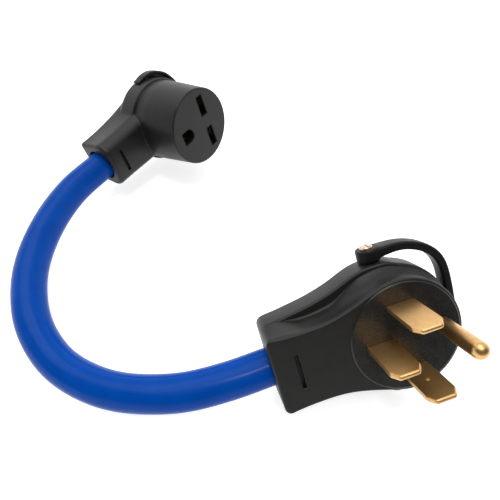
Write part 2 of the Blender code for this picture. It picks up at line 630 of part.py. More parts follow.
# ------------------------------------------------------------ cord
cord = smooth_path([PM @ Vector((CORD_IN_PLUG + 12.5, 0, PLUG_CORD_Z)), PM @ Vector((CORD_IN_PLUG, 0, PLUG_CORD_Z))]
                   + [Vector(p) for p in CORD_PATH]
                   + [SM @ Vector((CORD_IN_SOCKET, 0, SOCKET_CORD_Z)), SM @ Vector((CORD_IN_SOCKET + 11.5, 0, SOCKET_CORD_Z))], 40)
node("cord_jacket", pipe(cord, CORD_R, CORD_BORE, 18), world, BLUE)

# three insulated conductors laid in a slow helix, each running on to its crimps
tans, nors = sweep_frame(cord)
acc = [0.0]
for a, b in zip(cord, cord[1:]):
    acc.append(acc[-1] + (b - a).length)


def helix(off, phase, lo, hi):
    out = []
    for p, t, u, s in zip(cord, tans, nors, acc):
        if lo <= s <= acc[-1] - hi:
            v = t.cross(u)
            a = phase + 2 * math.pi * s / LAY
            out.append(p + (u * math.cos(a) + v * math.sin(a)) * off)
    return out


def local_phase(M, k, c, y, z, extra):
    p, t, u = cord[k], tans[k], nors[k]
    v = t.cross(u)
    d = (M.to_3x3() @ Vector((0, y, z)))
    return math.atan2(d.dot(v), d.dot(u)) - 2 * math.pi * acc[k] / LAY + extra


a0 = local_phase(PM, 0, None, 0, -1, 0.0)
turns = 2
end_k = len(cord) - 1
_p, _t, _u = cord[end_k], tans[end_k], nors[end_k]
_v = _t.cross(_u)
_d = SM.to_3x3() @ Vector((0, 0, 1))
a1 = math.atan2(_d.dot(_v), _d.dot(_u))
delta = (a1 - a0) % (2 * math.pi) + 2 * math.pi * (turns - 1)
LAY = acc[-1] * 2 * math.pi / delta


def side(M, k, a):
    """Which side (+1 or -1) of an end's centre plane a direction at angle a lies on."""
    t, u = tans[k], nors[k]
    v = t.cross(u)
    d = u * math.cos(a) + v * math.sin(a)
    return 1 if d.dot(M.to_3x3() @ Vector((0, 1, 0))) > 0 else -1


def even(path, n):
    return smooth_path(path, n)


def trim(path, head, tail):
    acc2 = [0.0]
    for a, b in zip(path, path[1:]):
        acc2.append(acc2[-1] + (b - a).length)

    def at(s):
        for i in range(len(path) - 1):
            if acc2[i + 1] >= s:
                return path[i].lerp(path[i + 1], (s - acc2[i]) / (acc2[i + 1] - acc2[i]))
        return path[-1]
    return [at(head)] + [p for p, s in zip(path, acc2) if head + 1 < s < acc2[-1] - tail - 1] + [at(acc2[-1] - tail)]


GXC = GND_X + 0.4
LOOKS = {"ground": (0.02, 0.30, 0.08), "hot_x": (0.03, 0.03, 0.03), "hot_y": (0.80, 0.79, 0.76)}
for tag, off in (("ground", 0.0), ("hot_x", 2 * math.pi / 3), ("hot_y", -2 * math.pi / 3)):
    ph = a0 + off
    mid = helix(WIRE_OFF, ph, 4.0, 4.0)[::2]
    if tag == "ground":
        head = [(10.6, 0, SZ), (2.0, 0, SZ), (-12.0, 0, SZ), (-24.0, 0, -20.4), (-35.0, 0, -18.2)]
        foot = [(-33.0, 0, -36.0), (-27.0, 0, TZ), (GXC - 6.2, 0, TZ)]
    else:
        s0 = side(PM, 0, ph)
        s1 = side(SM, end_k, ph + delta)
        head = [(3.0, s0 * 10.9, SZ), (-5.0, s0 * 10.9, SZ), (-15.0, s0 * 7.0, SZ), (-25.0, s0 * 5.0, -19.0),
                (-35.0, s0 * 4.2, -14.4)]
        foot = [(-33.0, s1 * 3.9, -42.2), (-23.0, s1 * 4.6, -41.8), (-14.0, s1 * 7.3, -39.4),
                (-6.2, s1 * (SLOT_Y - 0.15), TZ - 0.3), (0.0, s1 * SLOT_Y, TZ), (SLOT_X - 2.2, s1 * SLOT_Y, TZ)]
    ctrl = [PM @ Vector(p) for p in head] + mid + [SM @ Vector(p) for p in foot]
    path = even(ctrl, 50)
    core = loft(circle_rings(path, CORE_R, 5))
    node("wire_%s_core" % tag, core, world, ((0.80, 0.42, 0.26), 0.35, 1.0))
    cut = trim(path, 8.6, 8.6)
    node("wire_%s_insulation" % tag, pipe(cut, WIRE_R, CORE_R + 0.3, 6), world, (LOOKS[tag], 0.45))
for i in range(3):
    p = helix(FILL_OFF + 0.35, a0 + math.pi / 3 + i * 2 * math.pi / 3, 3.0, 3.0)
    node("cord_filler_%s" % "abc"[i], loft(circle_rings(p, FILL_R, 5)), world, ((0.75, 0.70, 0.58), 0.9))
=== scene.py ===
import math

import bmesh
import bpy
import numpy as np
from mathutils import Euler, Matrix, Vector


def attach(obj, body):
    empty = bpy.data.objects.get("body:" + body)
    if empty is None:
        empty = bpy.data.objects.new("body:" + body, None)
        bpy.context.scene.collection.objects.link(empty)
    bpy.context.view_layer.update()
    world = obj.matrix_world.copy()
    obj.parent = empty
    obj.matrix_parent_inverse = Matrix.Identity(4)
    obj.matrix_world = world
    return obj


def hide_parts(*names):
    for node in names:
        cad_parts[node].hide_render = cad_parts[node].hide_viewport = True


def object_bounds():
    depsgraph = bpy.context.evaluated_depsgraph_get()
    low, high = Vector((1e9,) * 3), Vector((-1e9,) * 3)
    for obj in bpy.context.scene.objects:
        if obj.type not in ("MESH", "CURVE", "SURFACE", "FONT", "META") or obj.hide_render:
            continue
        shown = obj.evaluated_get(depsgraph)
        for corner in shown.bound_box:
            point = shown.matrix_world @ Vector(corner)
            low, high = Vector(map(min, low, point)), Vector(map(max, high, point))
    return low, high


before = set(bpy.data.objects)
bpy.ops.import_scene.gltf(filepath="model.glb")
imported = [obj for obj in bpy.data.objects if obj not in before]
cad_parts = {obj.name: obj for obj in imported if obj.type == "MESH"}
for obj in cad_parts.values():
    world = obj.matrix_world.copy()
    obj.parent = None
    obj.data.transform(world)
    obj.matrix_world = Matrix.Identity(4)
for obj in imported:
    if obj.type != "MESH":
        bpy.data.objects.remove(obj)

CAD_LO, CAD_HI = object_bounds()
MM = 0.001
SCENE = bpy.context.scene

# ------------------------------------------------------------ the two frames
PLUG_AT, PLUG_ROT = (77.80, -82.82, 44.12), (52.54, -11.78, 16.63)
SOCKET_AT, SOCKET_ROT = (-21.55, 64.09, 42.86), (73.42, -7.52, 55.2)


def frame_of(at, rot):
    m = Euler([math.radians(a) for a in rot]).to_matrix()
    return np.array(m, float), np.array(at, float)


PLUG = frame_of(PLUG_AT, PLUG_ROT)
SOCKET = frame_of(SOCKET_AT, SOCKET_ROT)
WORLD = (np.eye(3), np.zeros(3))


def to_world(fr, p):
    p = np.atleast_2d(np.asarray(p, float))
    return p @ fr[0].T + fr[1]


def to_local(fr, p):
    return (np.asarray(p, float) - fr[1]) @ fr[0]


# ------------------------------------------------------------ numbers of the plug end
END_X, DEPTH = -59.9, 27.5
FACE_R, FLANGE_R = 26.4, 29.0
FRONT = [(-59.9, 18.5), (-51.0, 17.7), (-43.0, 17.4), (-35.0, 17.6), (-28.0, 18.6), (-23.0, 19.9),
         (-18.0, 21.5), (-14.0, 22.9), (-10.0, 24.3), (-6.0, 25.6)]
BACK = [(-59.9, 19.8), (-52.0, 20.2), (-45.0, 21.0), (-36.0, 22.3), (-29.0, 23.8), (-25.0, 24.9), (-20.0, 26.6),
        (-15.0, 28.5), (-11.0, 29.7), (-7.0, 30.3), (-3.0, 30.4), (3.0, 30.0), (8.0, 28.2)]
PLUG_CORD_Z = -13.5
CARRIER_R, CARRIER_FACE = 25.2, 0.5
BLADE_W, BLADE_T, BLADE_LEN, TIP_W, TIP_L = 12.7, 2.2, 27.1, 8.6, 4.1
HOT_Y, NEUTRAL_X = 15.5, -12.15
GROUND_X, GROUND_D, GROUND_LEN = 16.7, 7.4, 29.8
TAIL_X = 15.2
PIVOT_X, PIVOT_Z, EYE_R, EYE_IN, EYE_OUT = -1.9, -20.8, 5.3, 30.7, 36.6
STRAP_T, STRAP_W = 4.2, 8.4
STRAP_PATH = [(-1.9, 33.7), (5.0, 34.2), (13.8, 33.7), (22.2, 30.5), (28.4, 25.1), (31.2, 18.3), (31.9, 9.0), (31.8, 0.0)]
SCREW_R, EYE_HOLE_R = 1.90, 1.97
# ------------------------------------------------------------ numbers of the socket end
BARREL_R, BARREL_BASE_R = 23.5, 24.9
NECK_Z, S_DEPTH, S_END_X, S_FLANGE_R = -26.0, 53.0, -53.4, 26.2
S_CORD_Z = -39.7
NECK_REAR = [(-53.4, 13.5), (-46.0, 13.7), (-38.0, 14.2), (-31.0, 15.0), (-26.0, 15.7), (-20.0, 16.8), (-13.0, 18.4), (-6.0, 20.2)]
NECK_FRONT = [(-53.4, 14.8), (-46.0, 14.8), (-38.0, 15.0), (-31.0, 15.3), (-26.0, 15.5), (-20.0, 15.9), (-13.0, 16.5), (-6.0, 17.0)]
SLOT_X, SLOT_Y, SLOT_W, SLOT_L = 6.45, 10.75, 5.1, 12.9
GND_X, GND_W, GND_L = -11.4, 9.0, 8.2
FACE_T, BLOCK_R = 3.0, 19.9
SLING_Z, SLING_T, SLING_W, SLING_WEB_R = -43.3, 1.8, 6.0, 26.26
SLING_PATH = [(-2.2, 26.95), (1.0, 27.25), (5.0, 27.6), (9.6, 27.3), (13.1, 26.05), (16.5, 24.2), (19.5, 21.9),
              (21.9, 19.0), (24.6, 14.5), (26.7, 9.3), (27.8, 4.6), (28.1, 0.0)]
# ------------------------------------------------------------ cord
CORD_R, CORD_BORE = 8.8, 6.9
CORD_IN_PLUG, CORD_IN_SOCKET = -58.1, -54.5
CORD_PATH = [(0.87, -95.37, 20.76), (-23.13, -100.17, 17.36), (-50.03, -97.57, 12.66),
             (-73.53, -87.47, 9.36), (-89.03, -73.77, 10.36), (-99.43, -56.37, 13.36),
             (-104.63, -33.47, 16.96), (-103.03, -5.67, 20.26), (-95.23, 21.03, 22.56)]


# ============================================================ shape helpers
class Spline:
    """Smooth curve y(x) through stations, with its slope."""

    def __init__(self, pts):
        self.x = np.array([p[0] for p in pts], float)
        self.y = np.array([p[1] for p in pts], float)
        x, y = self.x, self.y
        n = len(x)
        h = np.diff(x)
        A = np.zeros((n, n))
        r = np.zeros(n)
        A[0, 0] = A[-1, -1] = 1.0
        for i in range(1, n - 1):
            A[i, i - 1], A[i, i], A[i, i + 1] = h[i - 1], 2 * (h[i - 1] + h[i]), h[i]
            r[i] = 6 * ((y[i + 1] - y[i]) / h[i] - (y[i] - y[i - 1]) / h[i - 1])
        self.m = np.linalg.solve(A, r)

    def __call__(self, q):
        q = np.clip(q, self.x[0], self.x[-1])
        i = np.clip(np.searchsorted(self.x, q) - 1, 0, len(self.x) - 2)
        h = self.x[i + 1] - self.x[i]
        a, b = (self.x[i + 1] - q) / h, (q - self.x[i]) / h
        return (a * self.y[i] + b * self.y[i + 1]
                + ((a ** 3 - a) * self.m[i] + (b ** 3 - b) * self.m[i + 1]) * h * h / 6)

    def slope(self, q):
        return (self(q + 0.05) - self(q - 0.05)) / 0.1


def step(x, a, b):
    t = np.clip((np.asarray(x, float) - a) / (b - a), 0, 1)
    return t * t * (3 - 2 * t)


def rmax(a, b, r):
    """Intersection of two solids with its edge rounded to r."""
    u, v = np.maximum(a + r, 0), np.maximum(b + r, 0)
    return np.minimum(np.maximum(a + r, b + r), 0) + np.hypot(u, v) - r


def rmin(a, b, r):
    """Union of two solids with a fillet of r between them."""
    return -rmax(-a, -b, r)


def resample(P, n=None, step_mm=None):
    """Points evenly spaced along an open polyline."""
    P = np.asarray(P, float)
    s = np.concatenate([[0], np.cumsum(np.linalg.norm(np.diff(P, axis=0), axis=1))])
    if n is None:
        n = int(round(s[-1] / step_mm)) + 1
    q = np.linspace(0, s[-1], n)
    return np.stack([np.interp(q, s, P[:, k]) for k in range(P.shape[1])], 1)


def soften(P, sigma, closed=False):
    """Gaussian smoothing of evenly spaced points; sigma in points. Open ends stay put."""
    P = np.asarray(P, float)
    k = int(math.ceil(3 * sigma))
    w = np.exp(-0.5 * (np.arange(-k, k + 1) / sigma) ** 2)
    w /= w.sum()
    if closed:
        Q = np.concatenate([P[-k:], P, P[:k]])
    else:
        Q = np.concatenate([2 * P[0] - P[k:0:-1], P, 2 * P[-1] - P[-2:-k - 2:-1]])
    return np.stack([np.convolve(Q[:, c], w, 'valid') for c in range(P.shape[1])], 1)


def catmull(points, n):
    P = [np.asarray(p, float) for p in points]
    P = [2 * P[0] - P[1]] + P + [2 * P[-1] - P[-2]]
    out = []
    for i in range(1, len(P) - 2):
        for k in range(24):
            t = k / 24
            a, b, c, d = P[i - 1], P[i], P[i + 1], P[i + 2]
            out.append(0.5 * (2 * b + (c - a) * t + (2 * a - 5 * b + 4 * c - d) * t * t + (3 * b - a - 3 * c + d) * t ** 3))
    out.append(P[-2])
    return resample(out, n)


def sweep_frame(P):
    """Tangent and two twist-free normals along a path."""
    T = np.gradient(P, axis=0)
    T /= np.linalg.norm(T, axis=1)[:, None]
    u = np.array([0, 0, 1.0])
    u = u - T[0] * (u @ T[0])
    u /= np.linalg.norm(u)
    U = [u]
    for i in range(1, len(P)):
        q = Vector(T[i - 1]).rotation_difference(Vector(T[i]))
        u = np.array(q @ Vector(U[-1]))
        u = u - T[i] * (u @ T[i])
        U.append(u / np.linalg.norm(u))
    U = np.array(U)
    return T, U, np.cross(T, U)


def skin(rings, closed=False, caps=True):
    """Vertices and faces of a skin through equal rings (n, m, 3)."""
    R = np.asarray(rings, float)
    n, m = R.shape[:2]
    V = R.reshape(-1, 3)
    F = []
    rows = n if closed else n - 1
    for k in range(rows):
        a, b = k * m, ((k + 1) % n) * m
        for i in range(m):
            j = (i + 1) % m
            F.append((a + i, a + j, b + j, b + i))
    if caps and not closed:
        F.append(tuple(range(m - 1, -1, -1)))
        F.append(tuple((n - 1) * m + i for i in range(m)))
    return V, F


def turned(profile, n=72):
    """Skin of revolution about Z from (radius, height) pairs."""
    a = 2 * np.pi * np.arange(n) / n
    return skin([np.stack([r * np.cos(a), r * np.sin(a), np.full(n, h)], 1) for r, h in profile])


def aimed(vf, c, axis):
    """Turn a Z-built shape to point along axis and put it at c."""
    q = np.array(Vector((0, 0, 1)).rotation_difference(Vector(axis)).to_matrix(), float)
    return vf[0] @ q.T + np.asarray(c, float), vf[1]


def rounded(profile, r, n=6):
    """Round the corners of an open (radius, height) profile; r one number or one per inner corner."""
    P = [np.asarray(p, float) for p in profile]
    out = [P[0]]
    for i in range(1, len(P) - 1):
        rr = r[i - 1] if isinstance(r, (list, tuple)) else r
        a, b = P[i - 1] - P[i], P[i + 1] - P[i]
        la, lb = np.linalg.norm(a), np.linalg.norm(b)
        if rr <= 0:
            out.append(P[i])
            continue
        c = min(rr, la * 0.48, lb * 0.48)
        p0, p1 = P[i] + a / la * c, P[i] + b / lb * c
        for k in range(n + 1):
            t = k / n
            out.append((1 - t) ** 2 * p0 + 2 * t * (1 - t) * P[i] + t * t * p1)
    out.append(P[-1])
    return out


def block(lo, hi):
    x0, y0, z0 = lo
    x1, y1, z1 = hi
    return skin([[(x0, y0, z0), (x1, y0, z0), (x1, y1, z0), (x0, y1, z0)],
                 [(x0, y0, z1), (x1, y0, z1), (x1, y1, z1), (x0, y1, z1)]])


def mouth(cx, cy, w, l, depth, flare=0.3, top=1.0):
    """Cutter for a rectangular opening in a face at z = 0, its lip chamfered by flare."""
    def q(g, z):
        return [(cx - w / 2 - g, cy - l / 2 - g, z), (cx + w / 2 + g, cy - l / 2 - g, z),
                (cx + w / 2 + g, cy + l / 2 + g, z), (cx - w / 2 - g, cy + l / 2 + g, z)]
    return skin([q(0, -depth), q(0, -flare), q(flare + top, top)])


def temp(vf, name="tmp"):
    """A throwaway object in millimetres, its faces turned outwards."""
    me = bpy.data.meshes.new(name)
    me.from_pydata([tuple(v) for v in vf[0]], [], [tuple(int(i) for i in f) for f in vf[1]])
    bm = bmesh.new()
    bm.from_mesh(me)
    bmesh.ops.recalc_face_normals(bm, faces=bm.faces)
    bm.to_mesh(me)
    bm.free()
    o = bpy.data.objects.new(name, me)
    SCENE.collection.objects.link(o)
    return o


def applied(o):
    dg = bpy.context.evaluated_depsgraph_get()
    me = bpy.data.meshes.new_from_object(o.evaluated_get(dg), depsgraph=dg)
    old = o.data
    o.modifiers.clear()
    o.data = me
    bpy.data.meshes.remove(old)
    return o


def cut(o, tool, op='DIFFERENCE'):
    tool = tool if isinstance(tool, bpy.types.Object) else temp(tool, "tool")
    m = o.modifiers.new("b", 'BOOLEAN')
    m.operation, m.solver, m.object = op, 'EXACT', tool
    applied(o)
    me = tool.data
    bpy.data.objects.remove(tool)
    bpy.data.meshes.remove(me)
    return o


def surface_net(f, lo, hi, h):
    """Closed quad skin of the solid where f < 0, its points moved on to the surface."""
    ax = [np.arange(lo[k], hi[k] + h, h) for k in range(3)]
    X, Y, Z = np.meshgrid(*ax, indexing='ij', sparse=True)
    D = f(X, Y, Z)
    S = D < 0
    c = [S[i:S.shape[0] - 1 + i, j:S.shape[1] - 1 + j, k:S.shape[2] - 1 + k]
         for i in (0, 1) for j in (0, 1) for k in (0, 1)]
    n_in = sum(a.astype(np.int8) for a in c)
    mixed = (n_in > 0) & (n_in < 8)
    I, J, K = np.nonzero(mixed)
    ids = np.full(mixed.shape, -1, np.int64)
    ids[I, J, K] = np.arange(len(I))
    corners = [(i, j, k) for i in (0, 1) for j in (0, 1) for k in (0, 1)]
    vals = np.stack([D[I + i, J + j, K + k] for i, j, k in corners], 1)
    acc = np.zeros((len(I), 3))
    cnt = np.zeros(len(I))
    for a in range(8):
        for b in range(a + 1, 8):
            da = np.array(corners[b]) - np.array(corners[a])
            if np.abs(da).sum() != 1:
                continue
            va, vb = vals[:, a], vals[:, b]
            x = (va < 0) != (vb < 0)
            t = np.where(x, va / np.where(x, va - vb, 1.0), 0)
            p = np.array(corners[a])[None] + da[None] * t[:, None]
            acc += np.where(x[:, None], p, 0)
            cnt += x
    P = acc / cnt[:, None] + np.stack([I, J, K], 1)
    P = np.stack([ax[k][0] + P[:, k] * h for k in range(3)], 1)
    e = 0.02
    for _ in range(4):
        d = f(P[:, 0], P[:, 1], P[:, 2])
        g = np.stack([f(P[:, 0] + e, P[:, 1], P[:, 2]) - f(P[:, 0] - e, P[:, 1], P[:, 2]),
                      f(P[:, 0], P[:, 1] + e, P[:, 2]) - f(P[:, 0], P[:, 1] - e, P[:, 2]),
                      f(P[:, 0], P[:, 1], P[:, 2] + e) - f(P[:, 0], P[:, 1], P[:, 2] - e)], 1) / (2 * e)
        s = (g * g).sum(1)
        mv = -(d / np.maximum(s, 0.2))[:, None] * g
        ln = np.linalg.norm(mv, axis=1)[:, None]
        P += mv * np.minimum(1, 0.35 * h / np.maximum(ln, 1e-9))
    faces = []
    for axis in range(3):
        s0 = [slice(None)] * 3
        s1 = [slice(None)] * 3
        s0[axis], s1[axis] = slice(0, -1), slice(1, None)
        cross = S[tuple(s0)] != S[tuple(s1)]
        i, j, k = np.nonzero(cross)
        inside_first = S[tuple(s0)][i, j, k]
        p = np.stack([i, j, k], 1)
        u, v = [(1, 2), (2, 0), (0, 1)][axis]
        ok = (p[:, u] > 0) & (p[:, v] > 0) & (p[:, u] < mixed.shape[u]) & (p[:, v] < mixed.shape[v])
        p, inside_first = p[ok], inside_first[ok]

        def at(du, dv):
            q = p.copy()
            q[:, u] += du
            q[:, v] += dv
            return ids[q[:, 0], q[:, 1], q[:, 2]]
        quad = np.stack([at(-1, -1), at(0, -1), at(0, 0), at(-1, 0)], 1)
        quad[~inside_first] = quad[~inside_first][:, ::-1]
        faces.append(quad)
    F = np.concatenate(faces)
    assert F.min() >= 0
    return P, F.tolist()


def piece(name, o, fr, body, nodes, mat, sharp=32.0, weighted=True):
    """Turn a millimetre object into a finished piece on its CAD body."""
    me = o.data
    n = len(me.vertices)
    co = np.zeros(n * 3, np.float32)
    me.vertices.foreach_get("co", co)
    local = co.reshape(-1, 3).astype(float)
    me.vertices.foreach_set("co", (to_world(fr, local) * MM).astype(np.float32).ravel())
    a = me.attributes.new("local", 'FLOAT_VECTOR', 'POINT')
    a.data.foreach_set("vector", local.astype(np.float32).ravel())
    me.update()
    me.materials.clear()
    me.materials.append(mat)
    me.polygons.foreach_set("material_index", np.zeros(len(me.polygons), np.int32))
    me.shade_smooth()
    me.set_sharp_from_angle(angle=math.radians(sharp))
    if weighted:
        w = o.modifiers.new("normals", 'WEIGHTED_NORMAL')
        w.keep_sharp = True
        w.weight = 50
    o.name = name
    me.name = name
    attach(o, body)
    if nodes:
        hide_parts(*nodes)
    return o


# ============================================================ materials
def tree(name):
    m = bpy.data.materials.new(name)
    m.use_nodes = True
    nt = m.node_tree
    return m, nt, nt.nodes["Principled BSDF"]


def add(nt, kind, **kw):
    nd = nt.nodes.new(kind)
    for k, v in kw.items():
        if k in nd.inputs:
            nd.inputs[k].default_value = v
        else:
            setattr(nd, k, v)
    return nd


def noise(nt, vec, scale, detail=3.0, rough=0.55, dist=0.0):
    nd = nt.nodes.new("ShaderNodeTexNoise")
    nd.inputs["Scale"].default_value = scale
    nd.inputs["Detail"].default_value = detail
    nd.inputs["Roughness"].default_value = rough
    nd.inputs["Distortion"].default_value = dist
    nt.links.new(vec, nd.inputs["Vector"])
    return nd.outputs["Fac"]


def ranged(nt, val, lo, hi, a=0.3, b=0.7):
    nd = nt.nodes.new("ShaderNodeMapRange")
    nd.inputs["From Min"].default_value, nd.inputs["From Max"].default_value = a, b
    nd.inputs["To Min"].default_value, nd.inputs["To Max"].default_value = lo, hi
    nt.links.new(val, nd.inputs["Value"])
    return nd.outputs["Result"]


def mixed(nt, fac, a, b):
    nd = nt.nodes.new("ShaderNodeMix")
    nd.data_type = 'RGBA'
    nt.links.new(fac, nd.inputs[0])
    for sock, c in ((nd.inputs[6], a), (nd.inputs[7], b)):
        if hasattr(c, "is_linked"):
            nt.links.new(c, sock)
        else:
            sock.default_value = (*c, 1.0)
    return nd.outputs[2]


def bump(nt, height, strength, dist, under=None):
    nd = nt.nodes.new("ShaderNodeBump")
    nd.inputs["Strength"].default_value = strength
    nd.inputs["Distance"].default_value = dist
    nt.links.new(height, nd.inputs["Height"])
    if under is not None:
        nt.links.new(under, nd.inputs["Normal"])
    return nd.outputs["Normal"]


def local_vec(nt, scale=(1, 1, 1)):
    """The piece's own millimetre coordinates, stretched by scale."""
    a = nt.nodes.new("ShaderNodeAttribute")
    a.attribute_name = "local"
    mp = nt.nodes.new("ShaderNodeMapping")
    mp.inputs["Scale"].default_value = scale
    nt.links.new(a.outputs["Vector"], mp.inputs["Vector"])
    return mp.outputs["Vector"]


def object_vec(nt, scale=1000.0):
    """World millimetres."""
    t = nt.nodes.new("ShaderNodeTexCoord")
    mp = nt.nodes.new("ShaderNodeMapping")
    mp.inputs["Scale"].default_value = (scale,) * 3
    nt.links.new(t.outputs["Object"], mp.inputs["Vector"])
    return mp.outputs["Vector"]


def moulded(name, dark, light, r_lo, r_hi, grain=0.25, wave=0.10, spec=0.5, coords=local_vec):
    """Moulded plastic: fine die grain, faint flow marks and uneven gloss."""
    m, nt, b = tree(name)
    v = coords(nt)
    flow = noise(nt, v, 0.11, 4.0, 0.6, 0.8)
    blot = noise(nt, v, 0.9, 3.0)
    fine = noise(nt, v, 3.2, 2.0, 0.6)
    nt.links.new(mixed(nt, ranged(nt, flow, 0, 1), dark, light), b.inputs["Base Color"])
    add_r = nt.nodes.new("ShaderNodeMath")
    add_r.operation = 'ADD'
    nt.links.new(ranged(nt, flow, r_lo, r_hi), add_r.inputs[0])
    nt.links.new(ranged(nt, blot, -0.025, 0.025), add_r.inputs[1])
    nt.links.new(add_r.outputs[0], b.inputs["Roughness"])
    n1 = bump(nt, blot, wave, 0.00020)
    n2 = bump(nt, fine, grain, 0.00006, n1)
    nt.links.new(n2, b.inputs["Normal"])
    b.inputs["Specular IOR Level"].default_value = spec
    return m


def brass(name, light, dark, r_lo, r_hi, along, coords=local_vec, grain=0.06):
    """Plated brass: drawn lines along the piece, warm tarnish in patches."""
    m, nt, b = tree(name)
    lines = noise(nt, coords(nt, tuple(0.10 if k == along else 5.0 for k in range(3))), 1.0, 3.0, 0.6)
    v = coords(nt)
    patch = noise(nt, v, 0.16, 4.0, 0.6, 0.6)
    spots = noise(nt, v, 1.3, 3.0, 0.6)
    c1 = mixed(nt, ranged(nt, patch, 0, 1, 0.35, 0.7), light, dark)
    c2 = mixed(nt, ranged(nt, spots, 0, 0.25, 0.55, 0.75), c1, tuple(0.62 * x for x in dark))
    nt.links.new(c2, b.inputs["Base Color"])
    add_r = nt.nodes.new("ShaderNodeMath")
    add_r.operation = 'ADD'
    nt.links.new(ranged(nt, patch, r_lo, r_hi), add_r.inputs[0])
    nt.links.new(ranged(nt, lines, -0.025, 0.03), add_r.inputs[1])
    nt.links.new(add_r.outputs[0], b.inputs["Roughness"])
    n1 = bump(nt, lines, grain, 0.00005)
    nt.links.new(bump(nt, spots, 0.02, 0.00010, n1), b.inputs["Normal"])
    b.inputs["Metallic"].default_value = 1.0
    return m


def jacket(name):
    """Blue extruded PVC: faint lengthwise drawing lines and soft unevenness."""
    m, nt, b = tree(name)
    lines = noise(nt, local_vec(nt, (0.05, 1.6, 1.0)), 1.0, 3.0, 0.6)
    v = local_vec(nt)
    soft = noise(nt, v, 0.10, 3.0, 0.5)
    fine = noise(nt, object_vec(nt), 1.8, 3.0, 0.6)
    nt.links.new(mixed(nt, ranged(nt, soft, 0, 1), (0.0003, 0.053, 0.325), (0.0006, 0.061, 0.355)), b.inputs["Base Color"])
    add_r = nt.nodes.new("ShaderNodeMath")
    add_r.operation = 'ADD'
    nt.links.new(ranged(nt, soft, 0.17, 0.22), add_r.inputs[0])
    nt.links.new(ranged(nt, lines, -0.03, 0.03), add_r.inputs[1])
    nt.links.new(add_r.outputs[0], b.inputs["Roughness"])
    n1 = bump(nt, lines, 0.22, 0.00008)
    nt.links.new(bump(nt, fine, 0.12, 0.00008, n1), b.inputs["Normal"])
    b.inputs["Specular IOR Level"].default_value = 0.07
    return m


M_BODY = moulded("moulded_black", (0.0068, 0.0071, 0.0065), (0.0105, 0.0108, 0.0099), 0.41, 0.49, spec=0.31)
M_HARD = moulded("hard_black", (0.0095, 0.0090, 0.0085), (0.0130, 0.0125, 0.0115), 0.24, 0.31, grain=0.12, wave=0.05, spec=0.40)
M_STRAP = moulded("strap_black", (0.0050, 0.0050, 0.0046), (0.0075, 0.0075, 0.0069), 0.40, 0.50, grain=0.3, spec=0.18)
M_BRASS = brass("blade_brass", (0.69, 0.427, 0.178), (0.59, 0.345, 0.143), 0.35, 0.43, 2)
M_PIN = brass("pin_brass", (0.67, 0.417, 0.175), (0.57, 0.333, 0.140), 0.30, 0.38, 2)
M_SCREW = brass("screw_brass", (0.74, 0.58, 0.46), (0.62, 0.46, 0.36), 0.20, 0.28, 1, grain=0.15)
M_CONTACT = brass("contact_brass", (0.62, 0.38, 0.16), (0.50, 0.29, 0.12), 0.28, 0.38, 2)
M_SLEEVE = brass("tinned_sleeve", (0.60, 0.60, 0.61), (0.48, 0.48, 0.50), 0.28, 0.38, 0, coords=lambda nt, scale=(1, 1, 1): object_vec(nt))
M_COPPER = brass("copper_strands", (0.82, 0.43, 0.27), (0.70, 0.34, 0.20), 0.30, 0.42, 0)
M_JACKET = jacket("jacket_blue")
M_GREEN = moulded("insulation_green", (0.015, 0.26, 0.07), (0.022, 0.32, 0.09), 0.38, 0.46, grain=0.1)
M_DARK = moulded("insulation_black", (0.018, 0.018, 0.018), (0.028, 0.028, 0.028), 0.38, 0.46, grain=0.1)
M_WHITE = moulded("insulation_white", (0.74, 0.73, 0.70), (0.82, 0.81, 0.78), 0.38, 0.46, grain=0.1)
M_FILLER = moulded("filler_fibre", (0.62, 0.56, 0.44), (0.80, 0.75, 0.63), 0.85, 0.95, grain=0.8, wave=0.4)


# ============================================================ plug body
def teardrop(stations, radius, corner, sm):
    """Upper half of the outline from the neck end's centre line to the far point, as even points."""
    w = Spline(stations)
    x0, w0 = stations[0]
    xt, wt = stations[-1]
    pts = [(x0, 0.0)]
    for i in range(25):
        a = math.pi - math.pi / 2 * i / 24
        pts.append((x0 + corner + corner * math.cos(a), w0 - corner + corner * math.sin(a)))
    for x in np.linspace(x0 + corner, xt, 120)[1:]:
        pts.append((x, float(w(x))))
    a0 = math.atan2(wt, xt) if radius is None else math.acos(max(-1, min(1, xt / radius)))
    for a in np.linspace(a0, 0, 90)[1:]:
        pts.append((radius * math.cos(a), radius * math.sin(a)))
    P = resample(pts, 900)
    up = P[1:-1]
    loop = np.concatenate([np.array([P[0]]), up * [1, -1], np.array([P[-1]]), up[::-1]])
    step_len = np.linalg.norm(P[1] - P[0])
    return soften(loop, sm / step_len, closed=True)


def matched(loop, n_side):
    """Pick points of a smooth closed outline at shared places, so that outlines match one to one."""
    k = len(loop) // 2
    low = loop[:k + 1]
    out = resample(low, n_side + 1)
    out[0][1] = out[-1][1] = 0.0
    return np.concatenate([out, (out[1:-1] * [1, -1])[::-1]])


def normals_of(L):
    t = np.roll(L, -1, 0) - np.roll(L, 1, 0)
    t /= np.linalg.norm(t, axis=1)[:, None]
    return np.stack([t[:, 1], -t[:, 0]], 1)


N_SIDE = 190
front = matched(teardrop(FRONT, FACE_R, 3.2, 0.9), N_SIDE)
back = matched(teardrop(BACK, FLANGE_R, 3.6, 0.75), N_SIDE)
nf, nb = normals_of(front), normals_of(back)
sx = step(front[:, 0], -55.5, -41.0)           # how far the grip groove has opened
sw = step(front[:, 0], -54.0, -20.0)
sr = step(front[:, 0], -27.0, -11.0)           # where the groove opens out into a wide cove
LEDGE = -13.0                                 # where the front wall meets the rear flange

rings = []


